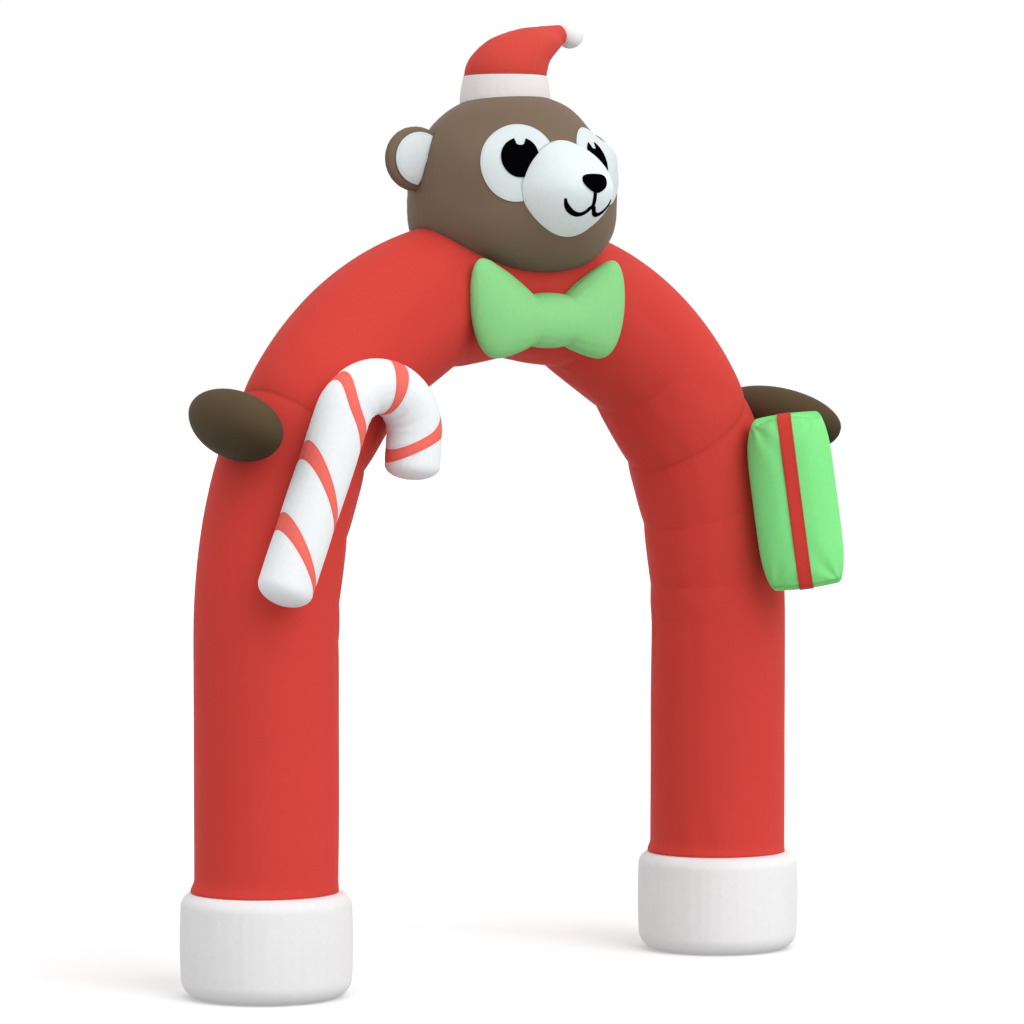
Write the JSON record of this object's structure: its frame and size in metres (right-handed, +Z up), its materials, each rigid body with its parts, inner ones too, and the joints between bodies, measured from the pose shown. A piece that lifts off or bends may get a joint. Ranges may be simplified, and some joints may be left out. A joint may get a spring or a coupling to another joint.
{
  "type": "inflatable christmas arch with a bear",
  "caption": "Walk-through air-filled cloth arch on two round feet, topped by a bear's head in a festive hat, with a bow tie, paws, a striped candy cane and a gift.",
  "frame": {"origin": "on the ground, at the middle of the bounding box in X and Y", "axes": "+Z up, +X to the right as seen from the front, the bear looks along -Y"},
  "size_m": [1.8922, 0.6382, 2.4],
  "materials": {
    "red_cloth": "matte coated polyester",
    "white_cloth": "matte coated polyester",
    "pale_grey_cloth": "matte coated polyester",
    "brown_cloth": "matte coated polyester",
    "dark_brown_cloth": "matte coated polyester",
    "black_cloth": "matte coated polyester",
    "bow_green_cloth": "matte coated polyester",
    "gift_green_cloth": "matte coated polyester",
    "ribbon_red_cloth": "matte coated polyester"
  },
  "bodies": {
    "root": {"arch_tube": "red_cloth", "foot_left": "white_cloth", "foot_right": "white_cloth", "head": "brown_cloth", "muzzle": "pale_grey_cloth", "ear_left": "brown_cloth", "ear_right": "brown_cloth", "inner_ear_left": "pale_grey_cloth", "inner_ear_right": "pale_grey_cloth", "eye_left": "pale_grey_cloth", "eye_right": "pale_grey_cloth", "pupil_left": "black_cloth", "pupil_right": "black_cloth", "nose": "black_cloth", "mouth": "black_cloth", "lip_line": "black_cloth", "hat_band": "white_cloth", "hat_crown": "red_cloth", "pompom": "white_cloth", "bow_tie": "bow_green_cloth", "candy_cane": "white_cloth", "gift": "gift_green_cloth", "gift_ribbon": "ribbon_red_cloth", "paw_left": "dark_brown_cloth", "paw_right": "dark_brown_cloth"}
  },
  "joints": []
}
